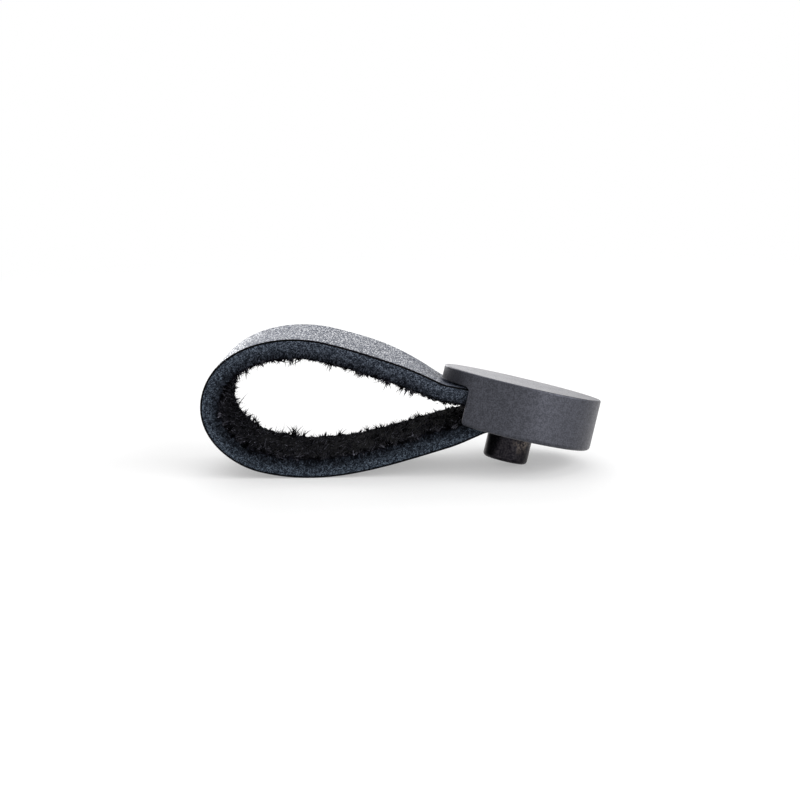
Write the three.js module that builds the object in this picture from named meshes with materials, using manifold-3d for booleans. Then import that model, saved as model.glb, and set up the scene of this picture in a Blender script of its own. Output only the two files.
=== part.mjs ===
// Furniture handle: a leather strap folded into a loop, its two ends held in the notch of a round metal cap.
// Millimetres, +Z up. Both pieces are drawn in the cap's own frame: the cap's axis is Z, its seating rim
// lies at z = 0, and the loop reaches towards -X. The whole is then laid down as it rests on a table.
import * as THREE from "three";
import { mergeVertices } from "three/addons/utils/BufferGeometryUtils.js";
import Module from "manifold-3d";

const wasm = await Module();
wasm.setup();

// Sizes of the cap
const CAP_RADIUS = 15;
const LIP_THICKNESS = 2.6;
const TOP_EDGE_ROUND = 0.3;
const RIM_EDGE_ROUND = 0.8;
const NOTCH_DEPTH = 5;
const NOTCH_CORNER_ROUND = 1;

// Sizes of the boss and its blind M4 hole
const BOSS_RADIUS = 4.2;
const BOSS_REACH = 5.4;
const BOSS_EDGE_ROUND = 0.7;
const THREAD_RADIUS = 1.65;
const THREAD_DEPTH = 11;
const THREAD_CHAMFER = 0.4;
const DRILL_TIP = 1;

// Sizes of the leather strip
const STRAP_WIDTH = 20;
const STRAP_THICKNESS = 3.3;
const STRAP_EDGE_ROUND = 0.35;

// Clearances
const FIT_GAP = 0.35;
const LAYER_GAP = 0.1;
const RIM_RECESS = 0.05;

// Outside of the loop, measured from the cap's axis, from its rim and from the loop's far end
const LOOP_REACH = 57.45;
const LOOP_RISE = 10.15;
const LOOP_DROP = 16.25;
const NOSE_DROP = 4.8;
const CROWN_SETBACK = 19.95;
const BELLY_SETBACK = 13.65;

// Where each layer leaves its straight run in the pocket, and how the lower one turns out of it
const MOUTH_SETBACK = 1;
const LOWER_BEND_START = 3.2;
const LOWER_BEND_RADIUS = 7;
const LOWER_BEND_ANGLE = 30;

// How far each end of a curve keeps its direction
const MOUTH_EASE = 3;
const CROWN_EASE_IN = 16;
const CROWN_EASE_OUT = 8.5;
const NOSE_EASE_IN = 8.3;
const NOSE_EASE_OUT = 6.6;
const BELLY_EASE_IN = 5;
const BELLY_EASE_OUT = 13.2;
const LOWER_EASE = 16.8;

// Twist of the level loop against the cap, in degrees, and the stretch of each layer that it takes
const TWIST = 6.3;
const UPPER_TWIST_START = 8;
const UPPER_TWIST_LENGTH = 22;
const LOWER_TWIST_LENGTH = 8;

// Smoothness
const ROUND_STEPS = 96;
const EDGE_STEPS = 4;
const BEND_STEPS = 18;

// Heights and places that follow from the sizes
const POCKET_HEIGHT = RIM_RECESS + 2 * STRAP_THICKNESS + LAYER_GAP + FIT_GAP;
const CAP_HEIGHT = POCKET_HEIGHT + LIP_THICKNESS;
const POCKET_RADIUS = STRAP_WIDTH / 2 + FIT_GAP;
const NOTCH_WALL = NOTCH_DEPTH - CAP_RADIUS;
const LOWER_LAYER = RIM_RECESS + STRAP_THICKNESS / 2;
const UPPER_LAYER = LOWER_LAYER + STRAP_THICKNESS + LAYER_GAP;
const STRAP_HOLE_RADIUS = BOSS_RADIUS + FIT_GAP;
const PAST = 1;

const finishes = {
  metal: new THREE.MeshStandardMaterial({ color: 0x494a50, roughness: 0.5, metalness: 0.85 }),
  leather: new THREE.MeshStandardMaterial({ color: 0x1b1d22, roughness: 0.7, metalness: 0 }),
};

// Solids for joining and cutting
function solidOf(geometry) {
  const bare = geometry.clone();
  bare.deleteAttribute("normal");
  bare.deleteAttribute("uv");
  const merged = mergeVertices(bare, 1e-4);
  const triVerts = new Uint32Array(merged.index.array);
  const vertProperties = new Float32Array(merged.attributes.position.array);
  return new wasm.Manifold(new wasm.Mesh({ numProp: 3, vertProperties, triVerts }));
}

function meshOf(solid, name, finish) {
  const cut = solid.getMesh();
  const geometry = new THREE.BufferGeometry();
  geometry.setAttribute("position", new THREE.BufferAttribute(cut.vertProperties, 3));
  geometry.setIndex(new THREE.BufferAttribute(cut.triVerts, 1));
  const flat = geometry.toNonIndexed();
  flat.computeVertexNormals();
  const mesh = new THREE.Mesh(flat, finish);
  mesh.name = name;
  return mesh;
}

// A solid turned about Z from a profile of (radius, height) points that starts and ends on the axis
function turned(profile) {
  const geometry = new THREE.LatheGeometry(profile, ROUND_STEPS);
  geometry.rotateX(Math.PI / 2);
  return solidOf(geometry);
}

// A quarter round of a profile about (x, y), from one angle to another in degrees
function quarter(x, y, radius, from, to) {
  const points = [];
  for (let i = 0; i <= EDGE_STEPS; i++) {
    const angle = THREE.MathUtils.degToRad(from + ((to - from) * i) / EDGE_STEPS);
    points.push(new THREE.Vector2(x + radius * Math.cos(angle), y + radius * Math.sin(angle)));
  }
  return points;
}

// A shape drawn in X and Z and pushed along Y, centred on y = 0
function pushedAlongY(shape, width, options = {}) {
  const geometry = new THREE.ExtrudeGeometry(shape, { depth: width, bevelEnabled: false, ...options });
  geometry.rotateX(Math.PI / 2);
  geometry.translate(0, width / 2, 0);
  return geometry;
}

// Plan of the strap's end: half round about the boss, open towards -X
function endPlan(radius, halfWidth, far) {
  const plan = new THREE.Shape();
  plan.moveTo(far, -halfWidth);
  plan.lineTo(0, -halfWidth);
  plan.absarc(0, 0, radius, -Math.PI / 2, Math.PI / 2, false);
  plan.lineTo(0, halfWidth);
  plan.lineTo(far, halfWidth);
  plan.closePath();
  return plan;
}

function uprightFrom(plan, bottom, top) {
  const options = { depth: top - bottom, bevelEnabled: false, curveSegments: ROUND_STEPS / 2 };
  const geometry = new THREE.ExtrudeGeometry(plan, options);
  geometry.translate(0, 0, bottom);
  return solidOf(geometry);
}

// Cap: a disc with a pocket for the two layers of strap, a notch where they enter, and the boss
function capDisc() {
  const rim = quarter(CAP_RADIUS - RIM_EDGE_ROUND, RIM_EDGE_ROUND, RIM_EDGE_ROUND, -90, 0);
  const top = quarter(CAP_RADIUS - TOP_EDGE_ROUND, CAP_HEIGHT - TOP_EDGE_ROUND, TOP_EDGE_ROUND, 0, 90);
  return turned([new THREE.Vector2(0, 0), ...rim, ...top, new THREE.Vector2(0, CAP_HEIGHT)]);
}

function notchCutter() {
  const past = -CAP_RADIUS - PAST;
  const foot = NOTCH_WALL + RIM_EDGE_ROUND;
  const cornerX = NOTCH_WALL - NOTCH_CORNER_ROUND;
  const cornerZ = POCKET_HEIGHT - NOTCH_CORNER_ROUND;
  const side = new THREE.Shape([
    new THREE.Vector2(past, -PAST),
    new THREE.Vector2(foot, -PAST),
    ...quarter(foot, RIM_EDGE_ROUND, RIM_EDGE_ROUND, 270, 180),
    ...quarter(cornerX, cornerZ, NOTCH_CORNER_ROUND, 0, 90),
    new THREE.Vector2(past, POCKET_HEIGHT),
  ]);
  return solidOf(pushedAlongY(side, 2 * (CAP_RADIUS + PAST)));
}

function pocketCutter() {
  return uprightFrom(endPlan(POCKET_RADIUS, POCKET_RADIUS, -CAP_RADIUS - PAST), -PAST, POCKET_HEIGHT);
}

function boss() {
  const root = POCKET_HEIGHT + LIP_THICKNESS / 2;
  const end = -BOSS_REACH;
  const edge = quarter(BOSS_RADIUS - BOSS_EDGE_ROUND, end + BOSS_EDGE_ROUND, BOSS_EDGE_ROUND, -90, 0);
  return turned([
    new THREE.Vector2(0, end),
    ...edge,
    new THREE.Vector2(BOSS_RADIUS, root),
    new THREE.Vector2(0, root),
  ]);
}

function threadHole() {
  const end = -BOSS_REACH;
  const bottom = end + THREAD_DEPTH;
  return turned([
    new THREE.Vector2(0, end - PAST),
    new THREE.Vector2(THREAD_RADIUS + THREAD_CHAMFER + PAST, end - PAST),
    new THREE.Vector2(THREAD_RADIUS, end + THREAD_CHAMFER),
    new THREE.Vector2(THREAD_RADIUS, bottom),
    new THREE.Vector2(0, bottom + DRILL_TIP),
  ]);
}

function buildCap() {
  const shell = capDisc().subtract(pocketCutter()).subtract(notchCutter());
  return meshOf(shell.add(boss()).subtract(threadHole()), "cap", finishes.metal);
}

// Strap: the middle line of the leather, from the end of the upper layer round the loop to the lower one
function strapLine() {
  const half = STRAP_THICKNESS / 2;
  const end = STRAP_WIDTH / 2 + PAST;
  const mouth = MOUTH_SETBACK - CAP_RADIUS;
  const nose = new THREE.Vector2(half - LOOP_REACH, -NOSE_DROP);
  const crown = new THREE.Vector2(CROWN_SETBACK - LOOP_REACH, LOOP_RISE - half);
  const belly = new THREE.Vector2(BELLY_SETBACK - LOOP_REACH, half - LOOP_DROP);
  const angle = THREE.MathUtils.degToRad(LOWER_BEND_ANGLE);
  const slope = new THREE.Vector2(-Math.cos(angle), -Math.sin(angle));
  const arcEase = (4 / 3) * Math.tan(angle / 4) * LOWER_BEND_RADIUS;
  const flat = new THREE.Vector2(-LOWER_BEND_START, LOWER_LAYER);
  const fallX = -LOWER_BEND_RADIUS * Math.sin(angle);
  const fallZ = -LOWER_BEND_RADIUS * (1 - Math.cos(angle));
  const bend = new THREE.Vector2(flat.x + fallX, flat.y + fallZ);
  const leave = slope.clone().multiplyScalar(LOWER_EASE).add(bend);
  const turn = slope.clone().multiplyScalar(-arcEase).add(bend);
  const line = new THREE.Path();
  line.moveTo(end, UPPER_LAYER);
  line.lineTo(mouth, UPPER_LAYER);
  line.bezierCurveTo(mouth - MOUTH_EASE, UPPER_LAYER, crown.x + CROWN_EASE_IN, crown.y, crown.x, crown.y);
  line.bezierCurveTo(crown.x - CROWN_EASE_OUT, crown.y, nose.x, nose.y + NOSE_EASE_IN, nose.x, nose.y);
  line.bezierCurveTo(nose.x, nose.y - NOSE_EASE_OUT, belly.x - BELLY_EASE_IN, belly.y, belly.x, belly.y);
  line.bezierCurveTo(belly.x + BELLY_EASE_OUT, belly.y, leave.x, leave.y, bend.x, bend.y);
  line.bezierCurveTo(turn.x, turn.y, flat.x - arcEase, flat.y, flat.x, flat.y);
  line.lineTo(end, LOWER_LAYER);
  return line;
}

// One side of the strap, at a distance to the right of its middle line
function strapSide(line, distance) {
  const points = [];
  line.curves.forEach((curve, index) => {
    const steps = curve.isLineCurve ? 1 : BEND_STEPS;
    for (let i = index ? 1 : 0; i <= steps; i++) {
      const along = curve.getTangent(i / steps);
      const point = curve.getPoint(i / steps);
      points.push(new THREE.Vector2(point.x + distance * along.y, point.y - distance * along.x));
    }
  });
  return points;
}

// Share of the full twist that a spot of the strap has, by its distance from the cap's axis
function twistShare(x, isUpper) {
  const start = isUpper ? UPPER_TWIST_START : LOWER_BEND_START;
  const length = isUpper ? UPPER_TWIST_LENGTH : LOWER_TWIST_LENGTH;
  return THREE.MathUtils.smoothstep(-x, start, start + length);
}

// Turns each cross line of the strap about the line between its two layers
function twist(geometry) {
  const pivot = RIM_RECESS + STRAP_THICKNESS + LAYER_GAP / 2;
  const spots = geometry.attributes.position;
  for (let i = 0; i < spots.count; i++) {
    const y = spots.getY(i);
    const z = spots.getZ(i) - pivot;
    const angle = THREE.MathUtils.degToRad(TWIST) * twistShare(spots.getX(i), z > 0);
    spots.setY(i, y * Math.cos(angle) - z * Math.sin(angle));
    spots.setZ(i, y * Math.sin(angle) + z * Math.cos(angle) + pivot);
  }
  return geometry;
}

function strapStrip() {
  const line = strapLine();
  const grain = strapSide(line, STRAP_THICKNESS / 2);
  const flesh = strapSide(line, -STRAP_THICKNESS / 2).reverse();
  const section = new THREE.Shape([...grain, ...flesh]);
  const width = STRAP_WIDTH - 2 * STRAP_EDGE_ROUND;
  const round = {
    bevelEnabled: true,
    bevelThickness: STRAP_EDGE_ROUND,
    bevelSize: STRAP_EDGE_ROUND,
    bevelOffset: -STRAP_EDGE_ROUND,
    bevelSegments: EDGE_STEPS / 2,
  };
  return solidOf(twist(pushedAlongY(section, width, round)));
}

function buildStrap() {
  const bottom = -LOOP_DROP - STRAP_WIDTH;
  const top = LOOP_RISE + STRAP_WIDTH;
  const ends = endPlan(STRAP_WIDTH / 2, STRAP_WIDTH, -LOOP_REACH - STRAP_WIDTH);
  const hole = new THREE.Shape();
  hole.absarc(0, 0, STRAP_HOLE_RADIUS, 0, 2 * Math.PI, false);
  const trimmed = strapStrip().intersect(uprightFrom(ends, bottom, top));
  return meshOf(trimmed.subtract(uprightFrom(hole, bottom, top)), "strap", finishes.leather);
}

// Lowest height of a mesh once it is rolled about X and then pitched about Y
function lowest(mesh, rotation) {
  const spots = mesh.geometry.attributes.position;
  const spot = new THREE.Vector3();
  let low = Infinity;
  for (let i = 0; i < spots.count; i++) {
    low = Math.min(low, spot.fromBufferAttribute(spots, i).applyEuler(rotation).z);
  }
  return low;
}

// Rest: the loop lies level on its belly, and the boss touches the table, which sets the cap's pitch
function restRotation(cap, strap) {
  const at = (pitch) => new THREE.Euler(-THREE.MathUtils.degToRad(TWIST), pitch, 0, "YXZ");
  let low = 0;
  let high = Math.PI / 4;
  for (let i = 0; i < 40; i++) {
    const middle = (low + high) / 2;
    const bossIsHigher = lowest(cap, at(middle)) > lowest(strap, at(middle));
    if (bossIsHigher) low = middle;
    else high = middle;
  }
  return at((low + high) / 2);
}

const cap = buildCap();
const strap = buildStrap();
const handle = new THREE.Group();
handle.name = "furniture_handle";
handle.add(cap, strap);
handle.rotation.copy(restRotation(cap, strap));
const box = new THREE.Box3().setFromObject(handle, true);
const centre = box.getCenter(new THREE.Vector3());
handle.position.set(-centre.x, -centre.y, -box.min.z);

export default handle;
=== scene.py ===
"""Furniture handle: a folded leather strap in the notch of a round metal cap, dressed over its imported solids.

Lengths are millimetres in the cap's own frame, unless a name says otherwise: the cap's axis is Z, its seating
rim lies at z = 0, and the loop reaches towards -X. RestPose lays them down in the shared frame. On the flat
strip, s runs along it from the upper layer's end, y across it, and z up from its middle to the grain side.
"""

import logging
import math
from collections.abc import Iterable, Iterator, Sequence
from dataclasses import dataclass, field
from enum import Enum
from typing import NamedTuple

import bmesh
import bpy
import numpy as np
from mathutils import Matrix, Vector, noise


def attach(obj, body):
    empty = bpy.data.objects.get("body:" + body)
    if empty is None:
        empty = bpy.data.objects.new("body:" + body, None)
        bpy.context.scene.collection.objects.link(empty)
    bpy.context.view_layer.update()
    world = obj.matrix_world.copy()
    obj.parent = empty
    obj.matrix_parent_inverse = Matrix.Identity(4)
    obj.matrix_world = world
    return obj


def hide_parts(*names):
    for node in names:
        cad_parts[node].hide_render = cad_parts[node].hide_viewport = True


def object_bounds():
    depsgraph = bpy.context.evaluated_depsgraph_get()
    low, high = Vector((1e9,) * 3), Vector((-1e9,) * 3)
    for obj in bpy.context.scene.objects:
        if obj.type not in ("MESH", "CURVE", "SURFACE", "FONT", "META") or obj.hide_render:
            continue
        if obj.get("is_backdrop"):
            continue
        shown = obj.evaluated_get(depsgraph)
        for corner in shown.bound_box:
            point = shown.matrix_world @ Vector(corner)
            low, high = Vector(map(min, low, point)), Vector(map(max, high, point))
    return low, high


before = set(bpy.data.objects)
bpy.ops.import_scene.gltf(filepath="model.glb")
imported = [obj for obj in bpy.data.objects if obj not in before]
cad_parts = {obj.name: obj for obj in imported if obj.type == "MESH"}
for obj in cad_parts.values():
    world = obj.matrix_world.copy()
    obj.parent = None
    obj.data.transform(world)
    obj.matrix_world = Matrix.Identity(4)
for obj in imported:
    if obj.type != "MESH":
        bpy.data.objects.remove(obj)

log = logging.getLogger("furniture_handle")

Colour = tuple[float, float, float, float]
Spot = tuple[float, float, float]
Pair = tuple[float, float]
Points = np.ndarray
Shape = bmesh.types.BMesh
Piece = bpy.types.Object
Finish = bpy.types.Material
Tree = bpy.types.NodeTree
Node = bpy.types.Node
Socket = bpy.types.NodeSocket

MM = 0.001
WHITE: Colour = (1.0, 1.0, 1.0, 1.0)


class Side(Enum):
    """The kinds of surface that the leather strip has, in the order of its material slots."""

    GRAIN = 0
    RAW = 1


def linear(red: float, green: float, blue: float) -> Colour:
    """Turns a colour of 0 to 255 as seen on a screen into the linear colour that a shader takes."""
    return tuple(math.pow(c / 255.0, 2.2) for c in (red, green, blue)) + (1.0,)


def smoothstep(value: Points, start: float, end: float) -> Points:
    """Rises smoothly from 0 at start to 1 at end."""
    t = np.clip((value - start) / (end - start), 0.0, 1.0)
    return t * t * (3.0 - 2.0 * t)


def setup(thing: object, **settings: object) -> object:
    """Sets properties of a thing.

    Args:
        thing: A node, modifier, curve, lamp, camera or the like.
        settings: Its properties and their values.

    Returns:
        The same thing.
    """
    for key, value in settings.items():
        setattr(thing, key, value)
    return thing


def link_object(name: str, data: bpy.types.ID) -> Piece:
    """Puts data into the scene as an object at the origin.

    Args:
        name: The object's name.
        data: The mesh, curve, lamp or camera.

    Returns:
        The object.
    """
    thing = bpy.data.objects.new(name, data)
    bpy.context.scene.collection.objects.link(thing)
    return thing


def mesh_object(name: str, shape: Shape) -> Piece:
    """Writes a bmesh to a new object and frees the bmesh.

    Args:
        name: The object's name.
        shape: The bmesh.

    Returns:
        The object, at the origin.
    """
    mesh = bpy.data.meshes.new(name)
    shape.to_mesh(mesh)
    shape.free()
    return link_object(name, mesh)


def settle(thing: Piece) -> Piece:
    """Replaces an object by the plain mesh that its modifiers or its curve make.

    Args:
        thing: A mesh with modifiers, or a curve.

    Returns:
        A mesh object of the same name, without modifiers.
    """
    bpy.context.view_layer.update()
    graph = bpy.context.evaluated_depsgraph_get()
    mesh = bpy.data.meshes.new_from_object(thing.evaluated_get(graph), depsgraph=graph)
    name = thing.name
    bpy.data.objects.remove(thing)
    mesh.name = name
    return link_object(name, mesh)


def dress(piece: Piece, *materials: Finish) -> None:
    """Gives a piece its materials and smooth shading.

    Args:
        piece: The piece.
        materials: Its materials, in the order of its slots.
    """
    for material in materials:
        piece.data.materials.append(material)
    piece.data.shade_smooth()


def note(mesh: bpy.types.Mesh, name: str, kind: str, values: Points) -> None:
    """Stores a value for each vertex of a mesh under a name that a material reads.

    Args:
        mesh: The mesh.
        name: The name to store it under.
        kind: FLOAT, or FLOAT_VECTOR for three numbers each.
        values: The values, in the order of the vertices.
    """
    key = "vector" if kind == "FLOAT_VECTOR" else "value"
    store = mesh.attributes.new(name, kind, "POINT")
    store.data.foreach_set(key, np.ascontiguousarray(values, float).ravel())


@dataclass(frozen=True)
class RestPose:
    """How the handle lies on the table, as the cap's own frame set into the shared frame."""

    pitch_deg: float = 14.2314
    roll_deg: float = -6.3
    place: Spot = (20.1753, -0.5596, 6.1605)

    def matrix(self) -> Matrix:
        """Gives the matrix from millimetres in the cap's frame to metres in the shared frame.

        Returns:
            The matrix.
        """
        pitch = Matrix.Rotation(math.radians(self.pitch_deg), 4, "Y")
        roll = Matrix.Rotation(math.radians(self.roll_deg), 4, "X")
        return Matrix.Translation(Vector(self.place) * MM) @ pitch @ roll @ Matrix.Scale(MM, 4)

    def set_down(self, spots: Points) -> Points:
        """Takes points in the cap's frame to the shared frame, in metres."""
        matrix = np.array(self.matrix())
        return spots @ matrix[:3, :3].T + matrix[:3, 3]


class NodeBoard:
    """Writes the nodes of one material or node group."""

    def __init__(self, tree: Tree) -> None:
        """Starts on a node tree."""
        self.tree = tree

    def feed(self, node: Node, inputs: dict) -> None:
        """Links output sockets to a node's inputs, or sets the inputs' values.

        Args:
            node: The node.
            inputs: The sockets and values, by the input's name or number.
        """
        for key, value in inputs.items():
            if isinstance(value, Socket):
                self.tree.links.new(value, node.inputs[key])
            else:
                node.inputs[key].default_value = value

    def add(self, kind: str, inputs: dict | None = None, **settings: object) -> Node:
        """Adds a node.

        Args:
            kind: The node's type without its ShaderNode prefix.
            inputs: Values or output sockets for its inputs, by name or number.
            settings: Properties of the node.

        Returns:
            The new node.
        """
        node = setup(self.tree.nodes.new("ShaderNode" + kind), **settings)
        self.feed(node, inputs or {})
        return node

    def math(self, operation: str, *values: object, clamp: bool = False) -> Socket:
        """Adds a Math node and returns its output."""
        return self.add("Math", dict(enumerate(values)), operation=operation, use_clamp=clamp).outputs[0]

    def vector(self, operation: str, *values: object) -> Socket:
        """Adds a Vector Math node and returns its vector, or its value where it measures."""
        output = "Value" if operation in ("DISTANCE", "LENGTH") else "Vector"
        return self.add("VectorMath", dict(enumerate(values)), operation=operation).outputs[output]

    def plus(self, base: object, extra: object, share: float) -> Socket:
        """Adds a share of one value to another."""
        return self.math("ADD", base, self.math("MULTIPLY", extra, share))

    def remap(self, value: object, start: float, end: float, low: float = 0.0, high: float = 1.0) -> Socket:
        """Takes a value from one range to another with a smooth, clamped step."""
        inputs = {"Value": value, "From Min": start, "From Max": end, "To Min": low, "To Max": high}
        return self.add("MapRange", inputs, interpolation_type="SMOOTHSTEP").outputs["Result"]

    def blend(self, share: object, first: object, second: object) -> Socket:
        """Mixes two colours by a share and returns the colour."""
        return self.add("Mix", {0: share, 6: first, 7: second}, data_type="RGBA", clamp_factor=True).outputs[2]

    def noise(self, place: object, scale: object, detail: float, roughness: float) -> Socket:
        """Adds a Noise Texture and returns its factor."""
        inputs = {"Vector": place, "Scale": scale, "Detail": detail, "Roughness": roughness}
        return self.add("TexNoise", inputs).outputs[0]

    def bump(self, height: object, distance: float) -> Socket:
        """Turns a height into a normal, for a relief of the given millimetres."""
        return self.add("Bump", {"Height": height, "Strength": 1.0, "Distance": distance * MM}).outputs[0]

    def stored(self, name: str, output: str = "Fac") -> Socket:
        """Reads what the mesh stores under a name."""
        return self.add("Attribute", attribute_name=name).outputs[output]

    def own_place(self) -> Socket:
        """Reads the object's own coordinates, in metres."""
        return self.add("TexCoord").outputs["Object"]

    def seen(self) -> Socket:
        """Gives 1 where the camera or a reflection looks, and 0 for the light that bounces."""
        path = self.add("LightPath").outputs
        return self.math("MAXIMUM", path["Is Camera Ray"], path["Is Glossy Ray"])

    def pattern(self, group: Tree, place: object, scale: float, strength: float) -> list[Socket]:
        """Places a pattern group and returns its mask and its height."""
        return self.add("Group", {0: place, 1: scale, 2: strength}, node_tree=group).outputs[:2]


def new_material(name: str) -> tuple[Finish, NodeBoard, Node]:
    """Starts a material and gives it with its board and its shader."""
    material = setup(bpy.data.materials.new(name), use_nodes=True)
    return material, NodeBoard(material.node_tree), material.node_tree.nodes["Principled BSDF"]


class PatternGroups:
    """The shader node groups that more than one material uses."""

    def __init__(self) -> None:
        """Builds each group once."""
        self.speckle = self._speckle()
        self.fibres = self._fibres()

    def _start(self, name: str, values: dict[str, float]) -> tuple[NodeBoard, list[Socket], Node]:
        """Starts a group whose inputs are a place and the given values, and whose outputs are Mask and Height.

        Args:
            name: The group's name.
            values: The names and starting values of its other inputs.

        Returns:
            Its board, the sockets that bring its inputs, and the node that takes its outputs.
        """
        tree = bpy.data.node_groups.new(name, "ShaderNodeTree")
        tree.interface.new_socket("Place", in_out="INPUT", socket_type="NodeSocketVector")
        for label, value in values.items():
            socket = tree.interface.new_socket(label, in_out="INPUT", socket_type="NodeSocketFloat")
            socket.default_value = value
        for label in ("Mask", "Height"):
            tree.interface.new_socket(label, in_out="OUTPUT", socket_type="NodeSocketFloat")
        given, out = tree.nodes.new("NodeGroupInput"), tree.nodes.new("NodeGroupOutput")
        return NodeBoard(tree), given.outputs[: len(values) + 1], out

    def _speckle(self) -> Tree:
        """Fine round specks, as on a satin coat or worn fibre ends.

        Returns:
            The group.
        """
        board, (place, scale, contrast), out = self._start("fine_speckle", {"Scale": 1.0, "Contrast": 1.0})
        fine = board.noise(place, scale, 1.0, 0.5)
        coarse = board.noise(place, board.math("MULTIPLY", scale, 0.31), 2.0, 0.6)
        both = board.plus(board.math("MULTIPLY", fine, 0.65), coarse, 0.35)
        spread = board.math("MULTIPLY", board.math("SUBTRACT", both, 0.5), contrast)
        mask = board.math("ADD", board.math("MULTIPLY", spread, 3.2), 0.5, clamp=True)
        board.feed(out, {"Mask": mask, "Height": both})
        return board.tree

    def _fibres(self) -> Tree:
        """Short matted fibres that lie mostly along the strip.

        Returns:
            The group.
        """
        board, (place, scale, stretch), out = self._start("matted_fibres", {"Scale": 1.0, "Stretch": 2.0})
        warp = board.add("TexNoise", {"Vector": place, "Scale": 1.1, "Detail": 1.0}).outputs[1]
        shift = board.vector("SUBTRACT", warp, (0.5, 0.5, 0.5))
        bent = board.vector("MULTIPLY_ADD", shift, (1.1, 1.1, 1.1), place)
        squeeze = board.add("CombineXYZ", {0: board.math("DIVIDE", 1.0, stretch), 1: 1.0, 2: 1.0}).outputs[0]
        strands = board.noise(board.vector("MULTIPLY", bent, squeeze), scale, 2.0, 0.6)
        cross = board.noise(bent, board.math("MULTIPLY", scale, 0.8), 1.0, 0.5)
        height = board.plus(board.math("MULTIPLY", strands, 0.7), cross, 0.3)
        board.feed(out, {"Mask": board.remap(height, 0.36, 0.66), "Height": height})
        return board.tree


@dataclass(frozen=True)
class SatinCoat:
    """Dark satin finish on the cast metal cap, with an optional pale patch round one spot, painted in as a
    highlight.
    """

    colour: Colour = linear(62, 63, 68)
    fleck: Colour = linear(80, 81, 88)
    tint: Colour = (0.97, 0.96, 0.96, 1.0)
    roughness: float = 0.42
    speck_size: float = 0.24
    speck_height: float = 0.003
    speck_contrast: float = 1.5
    speck_roughness: float = 0.04
    cloud_size: float = 6.0
    cloud_roughness: float = 0.012
    # A pale brownish patch painted in as a highlight: its colour, the size of its mottling, its centre in
    # millimetres and its reach.
    painted_highlight_and_wobble: Colour = linear(112, 104, 98)
    highlight_mottle_size: float = 0.9
    highlight_spot: Spot = (0.0, 0.0, 0.0)
    highlight_reach: float = 0.0
    name: str = "satin_coat"

    def material(self, patterns: PatternGroups) -> Finish:
        """Builds the finish: a fine speckled coat, slightly uneven in gloss.

        Args:
            patterns: The shared node groups.

        Returns:
            The material.
        """
        material, board, shader = new_material(self.name)
        place = board.own_place()
        mask, height = board.pattern(patterns.speckle, place, 1.0 / (self.speck_size * MM), self.speck_contrast)
        tone = board.blend(mask, self.colour, self.fleck)
        # Painted highlight: a mottled pale patch that fades out from one spot, where light falls on the boss.
        if self.highlight_reach:
            away = board.vector("DISTANCE", place, Vector(self.highlight_spot) * MM)
            near = board.remap(away, self.highlight_reach * MM, 0.0)
            patches = board.remap(board.noise(place, 1.0 / (self.highlight_mottle_size * MM), 3.0, 0.65), 0.42, 0.62)
            tone = board.blend(board.math("MULTIPLY", near, patches), tone, self.painted_highlight_and_wobble)
        cloud = board.noise(place, 1.0 / (self.cloud_size * MM), 3.0, 0.5)
        cloudy = board.remap(cloud, 0.35, 0.65, -self.cloud_roughness, self.cloud_roughness)
        least, most = self.roughness - self.speck_roughness, self.roughness + self.speck_roughness
        board.feed(shader, {
            "Base Color": tone,
            "Roughness": board.math("ADD", cloudy, board.remap(mask, 0.0, 1.0, most, least)),
            "Normal": board.bump(height, self.speck_height),
            "Metallic": 1.0,
            "Specular Tint": self.tint,
        })
        return material


@dataclass(frozen=True)
class GrainFinish:
    """Pebbled black grain side of the leather, lightly waxed."""

    colour: Colour = linear(24, 24, 28)
    # Painted shade: the grain is drawn darker down in the creases between the pebbles.
    crease_shade: Colour = linear(12, 12, 14)
    rub: Colour = linear(40, 42, 48)
    roughness: float = 0.8
    reflection: float = 0.15
    gloss: Pair = (0.1, 1.0)
    gloss_roughness: float = 0.3
    sheen: float = 0.2
    sheen_roughness: float = 0.4
    sheen_tint: Colour = (0.6, 0.7, 1.0, 1.0)
    wrinkle_size: float = 0.5
    wrinkle_height: float = 0.06
    specks_per_mm: float = 5.0

    def material(self, patterns: PatternGroups) -> Finish:
        """Builds the finish from the pebbles and finer wrinkles, on the flat strip's own coordinates.

        Args:
            patterns: The shared node groups.

        Returns:
            The material.
        """
        material, board, shader = new_material("leather_grain")
        place = board.stored("flat_place", "Vector")
        drawn = board.vector("MULTIPLY", place, (1.0, 0.5, 1.0))
        inputs = {"Vector": drawn, "Scale": 1.0 / self.wrinkle_size}
        edge = board.add("TexVoronoi", inputs, feature="DISTANCE_TO_EDGE").outputs["Distance"]
        wrinkle = board.remap(edge, 0.0, 0.36)
        height = board.math("MINIMUM", board.remap(board.stored("pebble"), 0.0, 0.8), wrinkle)
        specks, dust = board.pattern(patterns.speckle, place, self.specks_per_mm, 1.2)
        rubbed = board.math("MULTIPLY", board.stored("rubbed"), specks)
        # Darker in the creases, as painted shade.
        tone = board.blend(height, self.crease_shade, self.colour)
        board.feed(shader, {
            "Base Color": board.blend(rubbed, tone, self.rub),
            "Coat Weight": board.remap(height, 0.06, 0.74, *self.gloss),
            "Normal": board.bump(board.plus(wrinkle, dust, 0.8), self.wrinkle_height),
            "Coat Roughness": self.gloss_roughness,
            "Roughness": self.roughness,
            "Specular IOR Level": self.reflection,
            "Sheen Weight": self.sheen,
            "Sheen Roughness": self.sheen_roughness,
            "Sheen Tint": self.sheen_tint,
        })
        return material


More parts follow.
